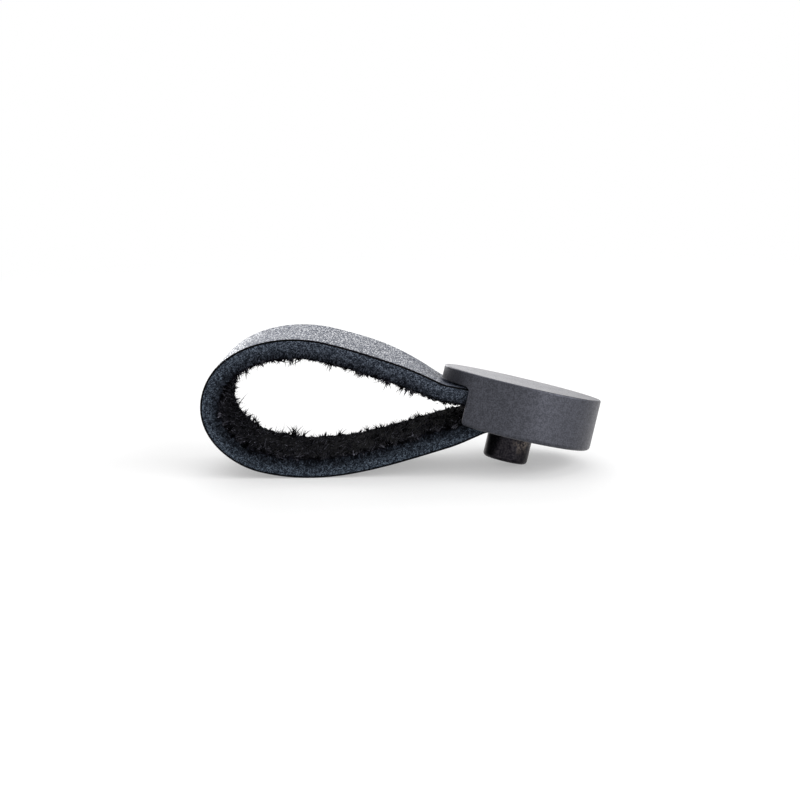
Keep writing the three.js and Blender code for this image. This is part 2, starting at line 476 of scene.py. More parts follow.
@dataclass(frozen=True)
class RawFinish:
    """Cut edge and flesh side of the leather: dyed fibre, blue black at the cut and matt at the flesh; the cut
    is drawn darker round the lower part of the loop as painted shade.
    """

    cut: Colour = linear(28, 33, 41)
    cut_fleck: Colour = linear(122, 131, 146)
    # The cut's darker colours, and where along the strip they come in: painted shade on the lower part of the
    # loop.
    cut_shaded: Colour = linear(21, 25, 33)
    cut_shaded_fleck: Colour = linear(116, 129, 144)
    shade_from: Pair = (50.0, 92.0)
    flesh: Colour = linear(3, 3, 5)
    flesh_fleck: Colour = linear(34, 34, 42)
    flesh_line: Pair = (0.8, 3.9)
    flesh_corner: Pair = (2.7, 3.28)
    line_wander: float = 2.8
    skin: Colour = linear(8, 8, 10)
    skin_depth: Pair = (0.34, 0.44)
    roughness: Pair = (0.72, 0.95)
    reflection: float = 0.03
    relief: float = 0.12
    fibres_per_mm: float = 4.2
    specks_per_mm: float = 6.2

    def material(self, patterns: PatternGroups) -> Finish:
        """Builds the finish, which turns from the cut edge to the flesh side over an uneven line.

        Args:
            patterns: The shared node groups.

        Returns:
            The material.
        """
        material, board, shader = new_material("leather_raw")
        place = board.stored("flat_place", "Vector")
        depth = board.stored("depth")
        matted, ridges = board.pattern(patterns.fibres, place, self.fibres_per_mm, 1.6)
        specks, dust = board.pattern(patterns.speckle, place, self.specks_per_mm, 2.1)
        painted_highlight_and_wobble = board.noise(place, 0.9, 3.0, 0.65)
        along = board.add("SeparateXYZ", {0: place}).outputs[0]
        # Painted shade: the cut edge turns darker from the crown round the nose to the belly and the lower
        # layer, with a wobbly start, and the flesh colour reaches a little further up the cut there.
        lower_shade = board.remap(board.plus(along, painted_highlight_and_wobble, 12.0), *self.shade_from)
        line = board.plus(depth, board.math("SUBTRACT", painted_highlight_and_wobble, 0.5), self.line_wander)
        line = board.remap(board.plus(line, lower_shade, 0.25), *self.flesh_line)
        to_flesh = board.math("MAXIMUM", line, board.remap(depth, *self.flesh_corner))
        mask = board.math("MULTIPLY", matted, specks)
        ground = board.blend(lower_shade, self.cut, self.cut_shaded)
        cut = board.blend(mask, ground, board.blend(lower_shade, self.cut_fleck, self.cut_shaded_fleck))
        tone = board.blend(to_flesh, cut, board.blend(mask, self.flesh, self.flesh_fleck))
        board.feed(shader, {
            "Base Color": board.blend(board.remap(depth, *self.skin_depth), self.skin, tone),
            "Roughness": board.remap(to_flesh, 0.0, 1.0, *self.roughness),
            "Normal": board.bump(board.plus(ridges, dust, 0.6), self.relief),
            "Specular IOR Level": self.reflection,
        })
        return material


@dataclass(frozen=True)
class FibreFinish:
    """Loose dyed fibres of the flesh side and of the cut edges."""

    dark: Colour = linear(3, 3, 5)
    # The pale strands stand partly for paler fibres and partly for painted glints, since the fibres are given
    # no gloss of their own.
    pale: Colour = linear(132, 132, 144)
    clump_size: float = 0.35
    least_share: float = 0.35
    roughness: float = 0.7
    name: str = "leather_fibre"

    def material(self, patterns: PatternGroups) -> Finish:
        """Builds the finish, dark with paler clumps.

        Args:
            patterns: The shared node groups.

        Returns:
            The material.
        """
        material, board, shader = new_material(self.name)
        clumps, _ = board.pattern(patterns.speckle, board.own_place(), 1.0 / (self.clump_size * MM), 1.0)
        clumps = board.remap(clumps, 0.0, 0.8, self.least_share, 1.0)
        share = board.math("MULTIPLY", board.stored("tone"), clumps)
        board.feed(shader, {
            "Base Color": board.blend(share, self.dark, self.pale),
            "Roughness": self.roughness,
            "Specular IOR Level": 0.0,
        })
        return material


@dataclass
class MetalCap:
    """Round cap with the notch and pocket for the strap, and the threaded boss on its underside."""

    radius: float = 15.0
    lip: float = 2.6
    top_round: float = 0.3
    rim_round: float = 0.8
    notch_depth: float = 5.0
    notch_corner: float = 1.0
    pocket_height: float = 7.1
    pocket_radius: float = 10.35
    boss_radius: float = 4.2
    boss_reach: float = 5.4
    boss_round: float = 0.7
    boss_margin: float = 0.3
    thread_core: float = 1.65
    thread_major: float = 2.0
    thread_pitch: float = 0.7
    thread_depth: float = 11.0
    thread_chamfer: float = 0.4
    thread_sink: float = 0.05
    flank_share: float = 0.43
    crest_share: float = 0.2
    edge_break: float = 0.13
    edge_angle_deg: float = 28.0
    sharp_angle_deg: float = 40.0
    overshoot: float = 1.0
    steps: int = 192
    thread_steps: int = 36
    pose: RestPose = field(default_factory=RestPose)

    @staticmethod
    def _quarter(x: float, z: float, radius: float, start: float, end: float) -> list[Pair]:
        """Gives the points of an arc about (x, z) between two angles in degrees."""
        angles = np.radians(np.linspace(start, end, 6))
        return [(x + radius * math.cos(a), z + radius * math.sin(a)) for a in angles]

    @staticmethod
    def _spun(profile: Sequence[Pair], turns: float, rise: float, steps: int) -> Shape:
        """Sweeps a profile of (radius, height) round Z.

        Args:
            profile: The profile's points.
            turns: Number of turns.
            rise: How far each step climbs.
            steps: Number of steps in all.

        Returns:
            The swept surface, closed onto its start where it doesn't climb.
        """
        shape = bmesh.new()
        spots = [shape.verts.new((r, 0.0, z)) for r, z in profile]
        edges = [shape.edges.new(pair) for pair in zip(spots, spots[1:])]
        bmesh.ops.spin(
            shape, geom=spots + edges, cent=(0, 0, 0), axis=(0, 0, 1), dvec=(0, 0, rise),
            angle=turns * 2 * math.pi, steps=steps, use_merge=not rise, use_duplicate=False,
        )
        return shape

    def _turned(self, profile: Sequence[Pair]) -> Shape:
        """Spins a profile about Z into a closed solid.

        Args:
            profile: Its points, of radius and height.

        Returns:
            The solid.
        """
        shape = self._spun(profile, 1, 0.0, self.steps)
        bmesh.ops.remove_doubles(shape, verts=shape.verts, dist=1e-4)
        open_edges = [e for e in shape.edges if e.is_boundary]
        if open_edges:
            bmesh.ops.holes_fill(shape, edges=open_edges, sides=0)
        bmesh.ops.recalc_face_normals(shape, faces=shape.faces)
        return shape

    def _pushed(self, outline: Sequence[Vector], way: Vector) -> Shape:
        """Extrudes a closed flat outline into a solid.

        Args:
            outline: Its corners in order.
            way: How far and which way it goes.

        Returns:
            The solid.
        """
        shape = bmesh.new()
        face = shape.faces.new([shape.verts.new(spot) for spot in outline])
        grown = bmesh.ops.extrude_face_region(shape, geom=[face])["geom"]
        bmesh.ops.translate(shape, vec=way, verts=[g for g in grown if isinstance(g, bmesh.types.BMVert)])
        bmesh.ops.recalc_face_normals(shape, faces=shape.faces)
        return shape

    def _disc(self) -> Shape:
        """The plain disc with its rounded rim and top edge.

        Returns:
            Its solid.
        """
        height = self.pocket_height + self.lip
        rim = self._quarter(self.radius - self.rim_round, self.rim_round, self.rim_round, -90, 0)
        top = self._quarter(self.radius - self.top_round, height - self.top_round, self.top_round, 0, 90)
        return self._turned(rim + top)

    def _boss(self) -> Shape:
        """The round boss, up into the lip, with its rounded end.

        Returns:
            Its solid.
        """
        corner = self.boss_radius - self.boss_round
        foot = self._quarter(corner, self.boss_round - self.boss_reach, self.boss_round, -90, 0)
        return self._turned(foot + [(self.boss_radius, self.pocket_height + self.lip / 2)])

    def _pocket(self) -> Shape:
        """What the two layers of strap take out of the disc.

        Returns:
            Its solid.
        """
        radius, below = self.pocket_radius, -self.overshoot
        angles = np.linspace(-math.pi / 2, math.pi / 2, self.steps // 2 + 1)
        arc = [Vector((radius * math.cos(a), radius * math.sin(a), below)) for a in angles]
        far = -self.radius - self.overshoot
        corners = [Vector((far, radius, below)), Vector((far, -radius, below))]
        return self._pushed(arc + corners, Vector((0, 0, self.pocket_height + self.overshoot)))

    def _notch(self) -> Shape:
        """The notch across the skirt, with its rounded foot and inner corner.

        Returns:
            Its solid.
        """
        wall = self.notch_depth - self.radius
        corner = self.notch_corner
        mouth = wall + self.rim_round
        foot = self._quarter(mouth, self.rim_round, self.rim_round, 270, 180)
        inner = self._quarter(wall - corner, self.pocket_height - corner, corner, 0, 90)
        reach, below = self.radius + self.overshoot, -self.overshoot
        side = [(-reach, below), (mouth, below), *foot, *inner, (-reach, self.pocket_height)]
        return self._pushed([Vector((x, -reach, z)) for x, z in side], Vector((0, 2 * reach, 0)))

    def _hole(self) -> Shape:
        """The blind hole that the thread is cut in.

        Returns:
            Its solid.
        """
        end, major = -self.boss_reach, self.thread_major
        mouth = (major + self.thread_chamfer + self.overshoot, end - self.overshoot)
        return self._turned([mouth, (major, end + self.thread_chamfer), (major, end + self.thread_depth)])

    def _body(self) -> Piece:
        """Cuts the disc, adds the boss, and breaks every sharp edge.

        Returns:
            The cap's body, without its thread.
        """
        body = mesh_object("cap_body", self._disc())
        tools = []
        for name, shape, operation in (
            ("pocket", self._pocket(), "DIFFERENCE"),
            ("notch", self._notch(), "DIFFERENCE"),
            ("boss", self._boss(), "UNION"),
            ("hole", self._hole(), "DIFFERENCE"),
        ):
            tool = mesh_object(name, shape)
            setup(body.modifiers.new(name, "BOOLEAN"), operation=operation, solver="EXACT", object=tool)
            tools.append(tool)
        setup(
            body.modifiers.new("edge_break", "BEVEL"), width=self.edge_break, segments=3, limit_method="ANGLE",
            angle_limit=math.radians(self.edge_angle_deg),
        )
        body = settle(body)
        for tool in tools:
            bpy.data.objects.remove(tool)
        return body

    def _thread(self) -> Piece:
        """The ridge of the thread inside the boss, swept as a helix.

        Returns:
            Its piece.
        """
        half = self.thread_pitch * self.flank_share
        crest = half * self.crest_share
        start = -self.boss_reach + self.thread_chamfer + half
        turns = (self.thread_depth - 2 * self.thread_chamfer) / self.thread_pitch
        outer, core = self.thread_major + self.thread_sink, self.thread_core
        profile = ((outer, start - half), (core, start - crest), (core, start + crest), (outer, start + half))
        rise = self.thread_pitch / self.thread_steps
        shape = self._spun(profile, turns, rise, round(turns * self.thread_steps))
        bmesh.ops.recalc_face_normals(shape, faces=shape.faces)
        bmesh.ops.reverse_faces(shape, faces=shape.faces)
        return mesh_object("boss_thread", shape)

    def build(self, coat: Finish, shade_and_highlight_coat: Finish) -> list[Piece]:
        """Makes the cap and its thread, lays them down and dresses them.

        Args:
            coat: The cap's finish.
            shade_and_highlight_coat: The finish of the boss and its thread: the coat drawn darker, as painted
                shade under the cap, with a pale patch painted in as a highlight.

        Returns:
            The pieces, ready to ride.
        """
        pieces = [self._body(), self._thread()]
        for piece in pieces:
            dress(piece, coat, shade_and_highlight_coat)
            # Faces on the boss and in its hole take the second finish, drawn darker as painted shade under the
            # cap.
            for face in piece.data.polygons:
                x, y, z = face.center
                on_boss = math.hypot(x, y) < self.boss_radius + self.boss_margin and z < self.pocket_height
                face.material_index = int(on_boss)
            piece.data.transform(self.pose.matrix())
            piece.data.set_sharp_from_angle(angle=math.radians(self.sharp_angle_deg))
        setup(pieces[0].modifiers.new("even_shading", "WEIGHTED_NORMAL"), keep_sharp=True)
        pieces[0] = settle(pieces[0])
        return pieces


@dataclass
class LoopLine:
    """Middle line of the leather, from the upper layer's end round the loop to the lower layer's end."""

    cap_radius: float = 15.0
    thickness: float = 3.3
    width: float = 20.0
    hole_inset: float = 11.0
    layer_gap: float = 0.1
    rim_recess: float = 0.05
    reach: float = 57.45
    rise: float = 10.15
    drop: float = 16.25
    nose_drop: float = 4.8
    crown_setback: float = 19.95
    belly_setback: float = 13.65
    mouth_setback: float = 1.0
    bend_start: float = 3.2
    bend_radius: float = 7.0
    bend_deg: float = 30.0
    mouth_ease: float = 3.0
    crown_eases: Pair = (16.0, 8.5)
    nose_eases: Pair = (8.3, 6.6)
    belly_eases: Pair = (5.0, 13.2)
    lower_ease: float = 16.8
    twist_deg: float = 6.3
    twist_upper: Pair = (8.0, 22.0)
    twist_lower: Pair = (3.2, 8.0)
    run_points: int = 241

    def __post_init__(self) -> None:
        """Works out the line's points, tangents and lengths."""
        spots, ways = [], []
        for index, (a, b, c, d) in enumerate(self._runs()):
            t = np.linspace(0.0, 1.0, self.run_points)[1 if index else 0:, None]
            spots.append((1 - t) ** 3 * a + 3 * (1 - t) ** 2 * t * b + 3 * (1 - t) * t**2 * c + t**3 * d)
            ways.append(3 * (1 - t) ** 2 * (b - a) + 6 * (1 - t) * t * (c - b) + 3 * t**2 * (d - c))
        self.spots = np.concatenate(spots)
        ways = np.concatenate(ways)
        self.ways = ways / np.linalg.norm(ways, axis=1, keepdims=True)
        steps = np.linalg.norm(np.diff(self.spots, axis=0), axis=1)
        self.along = np.concatenate([[0.0], np.cumsum(steps)])
        self.length = float(self.along[-1])
        self.nose = float(self.along[np.argmin(self.spots[:, 0])])
        self.pivot = self.rim_recess + self.thickness + self.layer_gap / 2

    def _runs(self) -> list[list[Points]]:
        """Gives each stretch of the line as the four points of a cubic curve, each of x and z.

        Returns:
            The stretches in order, from the upper end to the lower.
        """
        half = self.thickness / 2
        low = self.rim_recess + half
        high = low + self.thickness + self.layer_gap
        right, up = np.eye(2)
        mouth = np.array((self.mouth_setback - self.cap_radius, high))
        nose = np.array((half - self.reach, -self.nose_drop))
        crown = np.array((self.crown_setback - self.reach, self.rise - half))
        belly = np.array((self.belly_setback - self.reach, half - self.drop))
        flat = np.array((-self.bend_start, low))
        angle = math.radians(self.bend_deg)
        ease = 4 / 3 * math.tan(angle / 4) * self.bend_radius
        bend = flat - self.bend_radius * np.array((math.sin(angle), 1 - math.cos(angle)))
        slope = -np.array((math.cos(angle), math.sin(angle)))
        return [
            self._straight(np.array((self.hole_inset, high)), mouth),
            [mouth, mouth - right * self.mouth_ease, crown + right * self.crown_eases[0], crown],
            [crown, crown - right * self.crown_eases[1], nose + up * self.nose_eases[0], nose],
            [nose, nose - up * self.nose_eases[1], belly - right * self.belly_eases[0], belly],
            [belly, belly + right * self.belly_eases[1], bend + slope * self.lower_ease, bend],
            [bend, bend - slope * ease, flat - right * ease, flat],
            self._straight(flat, np.array((self.hole_inset, low))),
        ]

    @staticmethod
    def _straight(start: Points, end: Points) -> list[Points]:
        """Gives a straight stretch as the four points of a cubic curve."""
        return [start + (end - start) * k / 3 for k in range(4)]

    def fold(self, flat: Points) -> Points:
        """Folds points of the flat strip into the loop.

        Args:
            flat: Rows of the way along the strip, the way across it, and the height above its middle.

        Returns:
            The same points in the cap's frame.
        """
        s, y, d = flat.T
        x, z, tx, tz = (np.interp(s, self.along, line) for line in (*self.spots.T, *self.ways.T))
        x, z = x + d * tz, z - d * tx - self.pivot
        upper = smoothstep(-x, self.twist_upper[0], sum(self.twist_upper))
        lower = smoothstep(-x, self.twist_lower[0], sum(self.twist_lower))
        turn = math.radians(self.twist_deg) * np.where(s < self.nose, upper, lower)
        cos, sin = np.cos(turn), np.sin(turn)
        return np.stack([x, y * cos - z * sin, y * sin + z * cos + self.pivot], 1)


@dataclass
class LeatherStrap:
    """The strip of leather: cut flat with round ends and punched, then folded into the loop."""

    line: LoopLine = field(default_factory=LoopLine)
    pose: RestPose = field(default_factory=RestPose)
    hole_radius: float = 4.55
    hidden: Pair = (21.0, 15.0)
    fine_step: float = 0.34
    coarse_step: float = 0.6
    across_step: float = 0.46
    edge_lanes: tuple[float, ...] = (0.0, 0.05, 0.11, 0.19, 0.29, 0.42, 0.6)
    edge_width: float = 0.8
    inner_lane: float = 0.85
    wall_rows: int = 10
    skin: float = 0.02
    grain_round: float = 0.34
    flesh_round: float = 0.62
    pebble_size: Pair = (0.6, 1.2)
    pebble_depth: float = 0.08
    pebble_contrast: float = 3.6
    cut_wear: float = 0.045
    flesh_wear: Pair = (0.34, 0.36)
    worn_from: Pair = (24.0, 37.0)
    worn_until: Pair = (27.0, 16.0)

    def _stations(self) -> Points:
        """Gives the places of the crosswise rows, close together where the strip shows.

        Returns:
            The places along the strip, in order.
        """
        stops = (0.0, self.hidden[0], self.line.length - self.hidden[1], self.line.length)
        rows = []
        for start, end, step in zip(stops, stops[1:], (self.coarse_step, self.fine_step, self.coarse_step)):
            rows.append(np.linspace(start, end, round((end - start) / step) + 1)[:-1])
        return np.concatenate([*rows, [self.line.length]])

    def _lanes(self) -> Points:
        """Gives the places of the lengthwise rows, closest at the edges.

        Returns:
            The places across the strip, in order.
        """
        half = self.line.width / 2
        edge = np.array(self.edge_lanes)
        inner = half - self.inner_lane
        middle = np.linspace(-inner, inner, round(2 * inner / self.across_step) + 1)
        return np.concatenate([-half + edge, middle, (half - edge)[::-1]])

    def _ends(self) -> tuple[tuple[float, int], tuple[float, int]]:
        """Gives each hole's place along the strip, with the way from it to the strip's end."""
        return (self.line.hole_inset, -1), (self.line.length - self.line.hole_inset, 1)

    def _blank(self) -> Shape:
        """Cuts the flat strip: a grid with round ends and two punched holes, then given its thickness.

        Returns:
            The flat strip, with its grain side up and finer there.
        """
        stations, lanes = self._stations(), self._lanes()
        shape = bmesh.new()
        bmesh.ops.create_grid(shape, x_segments=len(stations) - 1, y_segments=len(lanes) - 1, size=1.0)
        half = self.line.thickness / 2
        for spot in shape.verts:
            column = round((spot.co.x + 1) / 2 * (len(stations) - 1))
            row = round((spot.co.y + 1) / 2 * (len(lanes) - 1))
            spot.co = (stations[column], lanes[row], half)
        reach = self.line.width / 2
        ends = [(Vector((s, 0.0, half)), outward) for s, outward in self._ends()]
        waste = []
        for face in shape.faces:
            middle = face.calc_center_median()
            for centre, outward in ends:
                distance = (middle - centre).length
                beyond = (middle.x - centre.x) * outward > 0 and distance > reach
                if beyond or distance < self.hole_radius:
                    waste.append(face)
                    break
        bmesh.ops.delete(shape, geom=waste, context="FACES")
        for spot in (v for v in shape.verts if v.is_boundary):
            for centre, outward in ends:
                away = spot.co - centre
                if away.length < self.hole_radius + 1.5:
                    spot.co = centre + away.normalized() * self.hole_radius
                elif away.x * outward > 0:
                    spot.co = centre + away.normalized() * reach
        bmesh.ops.solidify(shape, geom=shape.faces[:], thickness=self.line.thickness)
        walls = [e for e in shape.edges if abs(e.verts[0].co.z - e.verts[1].co.z) > half]
        bmesh.ops.subdivide_edges(shape, edges=walls, cuts=self.wall_rows, use_grid_fill=True)
        start, end, side = self.hidden[0], self.line.length - self.hidden[1], reach - self.edge_width
        seen = {v for v in shape.verts if v.co.z > half - 1e-4 and start < v.co.x < end and abs(v.co.y) < side}
        grain = [edge for edge in shape.edges if seen.issuperset(edge.verts)]
        bmesh.ops.subdivide_edges(shape, edges=grain, cuts=1, use_grid_fill=True)
        bmesh.ops.recalc_face_normals(shape, faces=shape.faces)
        return shape

    def _pebbles(self, flat: Points) -> Points:
        """Works out the grain's pebbles.

        Args:
            flat: The rounded strip's points.

        Returns:
            The pebbles' height at each point, from 0 in a crease to 1 on a crown and away from the grain.
        """
        on_grain = flat[:, 2] > self.line.thickness / 2 - self.skin
        heights = np.where(on_grain, 0.0, 1.0)
        for index in np.flatnonzero(on_grain):
            s, y = flat[index, :2]
            bend = 0.4 * noise.noise(Vector((s * 0.7, y * 0.7, 2.3)))
            spot = Vector(((s + bend) / self.pebble_size[0], (y - bend) / self.pebble_size[1], 0.0))
            for finer, share in ((1.0, 0.8), (1.9, 0.2)):
                nearest, second = noise.voronoi(spot * finer)[0][:2]
                heights[index] += share * min(1.0, (second - nearest) * self.pebble_contrast)
        return heights

    def _rounded(self, flat: Points) -> tuple[Points, Points, Points]:
        """Rounds the strip's corners.

        Args:
            flat: The plain strip's points.

        Returns:
            The rounded points, the way out of the plan at each, and how far each lies inside the outline.
        """
        s, y, z = flat.T
        reach, half = self.line.width / 2, self.line.thickness / 2
        out = np.stack([np.zeros_like(s), np.sign(y)], 1)
        inside = reach - np.abs(y)
        for centre, outward in self._ends():
            away = np.stack([s - centre, y], 1)
            distance = np.linalg.norm(away, axis=1)
            beyond = (s - centre) * outward > 0
            out[beyond] = (away / np.maximum(distance, 1e-6)[:, None])[beyond]
            inside[beyond] = (reach - distance)[beyond]
        inside = np.maximum(inside, 0.0)
        moved_in, moved_z = inside.copy(), z.copy()
        for sign, radius in ((1, self.grain_round), (-1, self.flesh_round)):
            a = np.clip(radius - inside, 0.0, None)
            b = np.clip(sign * z - (half - radius), 0.0, None)
            size = np.maximum(np.hypot(a, b), 1e-9)
            corner = (a > 0) & (b > 0)
            moved_in[corner] = (radius - a * radius / size)[corner]
            moved_z[corner] = (sign * (half - radius + b * radius / size))[corner]
        flat = flat.copy()
        flat[:, :2] -= out * (moved_in - inside)[:, None]
        flat[:, 2] = moved_z
        return flat, out, moved_in

    def _worked(self, flat: Points, out: Points, inside: Points, pebbles: Points) -> Points:
        """Gives the surfaces their relief: soft pebbles, an uneven cut and a rough flesh side.

        Args:
            flat: The rounded strip's points.
            out: The way out of the plan at each.
            inside: How far each lies inside the outline.
            pebbles: The height of the pebbles at each.

        Returns:
            The worked points.
        """
        half = self.line.thickness / 2
        result = flat.copy()
        until = [self.line.length - margin for margin in self.worn_until]
        swell = smoothstep(flat[:, 0], *self.worn_from) * (1.0 - smoothstep(flat[:, 0], *until))
        for index, (s, y, z) in enumerate(flat):
            if z > half - self.skin:
                result[index, 2] -= self.pebble_depth * (1.0 - pebbles[index])
                continue
            rough = abs(noise.fractal(Vector((s * 0.9, y * 1.6, z * 1.6)), 0.8, 2.1, 3))
            if z < -half + 0.4:
                result[index, 2] -= swell[index] * (self.flesh_wear[0] + self.flesh_wear[1] * rough)
            if inside[index] < 0.5:
                result[index, :2] -= out[index] * self.cut_wear * rough
        return result

    def build(self, grain: Finish, raw: Finish) -> Piece:
        """Cuts, rounds, works, folds and dresses the strip.

        Args:
            grain: Finish of the grain side.
            raw: Finish of the cut edges and the flesh side.

        Returns:
            The strap.
        """
        shape = self._blank()
        half = self.line.thickness / 2
        for face in shape.faces:
            on_top = min(v.co.z for v in face.verts) > half - 1e-4
            face.material_index = (Side.GRAIN if on_top else Side.RAW).value
        strap = mesh_object("strap_leather", shape)
        mesh = strap.data
        plain = np.zeros(len(mesh.vertices) * 3)
        mesh.vertices.foreach_get("co", plain)
        plain = plain.reshape(-1, 3)
        rounded, out, inside = self._rounded(plain)
        pebbles = self._pebbles(rounded)
        note(mesh, "flat_place", "FLOAT_VECTOR", rounded)
        note(mesh, "depth", "FLOAT", half - plain[:, 2])
        note(mesh, "rubbed", "FLOAT", 1.0 - smoothstep(inside, 0.15, 0.9))
        note(mesh, "pebble", "FLOAT", pebbles)
        worked = self._worked(rounded, out, inside, pebbles)
        placed = self.pose.set_down(self.line.fold(worked))
        mesh.vertices.foreach_set("co", placed.ravel())
        mesh.update()
        dress(strap, grain, raw)
        return strap


class Strand(NamedTuple):
    """One fibre on the flat strip: where it grows, which way it lies, and how long and thick it is."""

    root: Spot
    way: Spot
    curl: Spot
    length: float
    radius: float
    tone: float


@dataclass
class FleshNap:
    """Loose fibres on the flesh side and the cut edges, as fine tapered strands that follow the strip."""

    line: LoopLine = field(default_factory=LoopLine)
    pose: RestPose = field(default_factory=RestPose)
    seed: int = 20
    hidden: Pair = (21.5, 15.5)
    pressed: Pair = (1.0, 11.0)
    clumps_per_mm2: float = 1.6
    lint_per_mm2: float = 0.4
    fuzz_per_mm: float = 9.0
    fringe_step: float = 0.33
    longest: float = 1.5
    hair_shade: float = 0.05
    per_piece: int = 9000

    def __post_init__(self) -> None:
        """Starts the seeded chance that every strand is drawn from, and finds where the nap lies."""
        self.chance = np.random.default_rng(self.seed)
        self.start, self.end = self.hidden[0], self.line.length - self.hidden[1]
        self.flesh_side = -self.line.thickness / 2
        self.reach = self.line.width / 2

    def _tone(self, s: float, y: float) -> float:
        """Draws how pale a tuft is: most are black, and the grey and pale ones come in loose patches.

        Args:
            s: The tuft's place along the strip.
            y: Its place across the strip.

        Returns:
            Its tone, from 0 for black to 1 for pale.
        """
        patch = max(0.0, noise.noise(Vector((s * 0.8, y * 1.1, 17.0))) - 0.05)
        kind = self.chance.random()
        shades = (0.0, 0.03)
        if kind < 0.02 + 0.2 * patch:
            shades = (0.6, 1.0)
        elif kind < 0.36 + 1.2 * patch:
            shades = (0.06, 0.42)
        return float(self.chance.uniform(*shades))

    def _room(self, s: float) -> float:
        """Gives the share of its full height that the nap has at a place: it is pressed flat near the cap."""
        return 0.25 + 0.75 * float(smoothstep(np.array(min(s - self.start, self.end - s)), *self.pressed))

    def _tuft(
        self, middle: Spot, way: Spot, count: int, length: float, thickness: Pair, curl_spread: float
    ) -> Iterator[Strand]:
        """Grows a tuft whose strands lean together.

        Args:
            middle: The tuft's root on the flat strip.
            way: The way it leans.
            count: Its number of strands.
            length: Their usual length.
            thickness: The least and greatest radius at their root.
            curl_spread: How strongly they curl.

        Returns:
            The strands, one by one.
        """
        chance = self.chance
        shade = self._tone(middle[0], middle[1])
        for _ in range(count):
            off = chance.normal(0.0, 0.2, 3) * (1.0, 1.0, 0.3)
            pull = -off * chance.uniform(0.2, 0.9) / max(length, 0.3)
            lean = np.array(way) + pull + chance.normal(0.0, 0.22, 3)
            curl = chance.normal(0.0, curl_spread, 3)
            size = max(0.15, length * chance.uniform(0.45, 1.2))
            radius = chance.uniform(*thickness)
            tone = shade * chance.uniform(0.5, 1.2)
            yield Strand(tuple(np.array(middle) + off), tuple(lean), tuple(curl), size, radius, tone)

    def flesh(self) -> Iterator[Strand]:
        """Grows the nap of the flesh side, patchy and in small tufts.

        Returns:
            The strands, one by one.
        """
        chance = self.chance
        width = self.line.width - 0.6
        for _ in range(round((self.end - self.start) * width * self.clumps_per_mm2)):
            s = chance.uniform(self.start, self.end)
            y = chance.uniform(-width / 2, width / 2)
            patch = noise.noise(Vector((s * 0.45, y * 0.6, 3.7)))
            turn = 2.2 * noise.noise(Vector((s * 0.35, y * 0.35, 9.1))) + chance.normal(0.0, 0.8)
            lift = chance.uniform(0.1, 1.0) + 0.8 * patch
            way = (math.cos(turn), math.sin(turn), -max(0.1, lift))
            room = self._room(s)
            length = min(self.longest, chance.lognormal(-0.5, 0.36) * (1.0 + 0.7 * patch)) * room
            middle = (s, y, self.flesh_side - 0.3 * room)
            yield from self._tuft(middle, way, int(chance.integers(3, 8)), length, (0.028, 0.075), 1.0)

    def lint(self) -> Iterator[Strand]:
        """Scatters longer, paler, curled fibres over the nap.

        Returns:
            The strands, one by one.
        """
        chance = self.chance
        start, end = self.start + 4.0, self.end - 4.0
        for _ in range(round((end - start) * self.line.width * self.lint_per_mm2)):
            heading = chance.normal(0.0, 1.2)
            root = (chance.uniform(start, end), chance.uniform(-9.7, 9.7), self.flesh_side - 0.45)
            way = (math.cos(heading), math.sin(heading), -chance.uniform(0.1, 0.8))
            curl = (chance.normal(0.0, 0.9), chance.normal(0.0, 0.9), chance.normal(0.0, 0.5))
            tone = chance.uniform(0.2, 0.9)
            yield Strand(root, way, curl, chance.uniform(0.4, 1.1), chance.uniform(0.03, 0.08), tone)

    def fringe(self) -> Iterator[Strand]:
        """Grows the torn fringe along both corners of the flesh side.

        Returns:
            The strands, one by one.
        """
        chance = self.chance
        for side in (-1.0, 1.0):
            place = self.start
            while place < self.end:
                place += chance.exponential(self.fringe_step)
                room = self._room(place)
                patch = noise.noise(Vector((place * 0.8, side, 5.3)))
                length = min(self.longest, chance.lognormal(-0.75, 0.5) * (1.0 + 1.5 * patch)) * room
                sunk = 0.4 * chance.uniform(0.0, 1.0) - 0.3 * room
                middle = (place, side * (self.reach - chance.uniform(0.12, 0.8)), self.flesh_side + sunk)
                way = (chance.normal(-0.1, 0.75), side * chance.uniform(-0.15, 0.35), -1.0)
                yield from self._tuft(middle, way, int(chance.integers(6, 16)), length, (0.06, 0.17), 0.45)

    def cut_fuzz(self) -> Iterator[Strand]:
        """Lays short fibres over both cut edges, most of them near the flesh side.

        Returns:
            The strands, one by one.
        """
        chance = self.chance
        for _ in range(round((self.end - self.start) * 2 * self.fuzz_per_mm)):
            side = chance.choice((-1.0, 1.0))
            depth = self.flesh_side + 0.1 + (self.line.thickness - 0.6) * chance.uniform(0.0, 1.0) ** 1.7
            root = (chance.uniform(self.start, self.end), side * (self.reach - 0.07), depth)
            heading = chance.uniform(0.0, 2.0 * math.pi)
            way = (math.cos(heading), side * chance.uniform(0.05, 0.4), math.sin(heading) * 0.7)
            curl = (chance.normal(0.0, 0.4), 0.0, chance.normal(0.0, 0.4))
            tone = chance.uniform(0.0, 0.8)
            yield Strand(root, way, curl, chance.uniform(0.15, 0.45), chance.uniform(0.014, 0.03), tone)

    def hairs(self) -> Iterator[Strand]:
        """Adds the few long hairs and tufts that stand out inside the loop.

        Returns:
            The strands, one by one.
        """
        chance = self.chance
        lie = self.flesh_side - 0.2
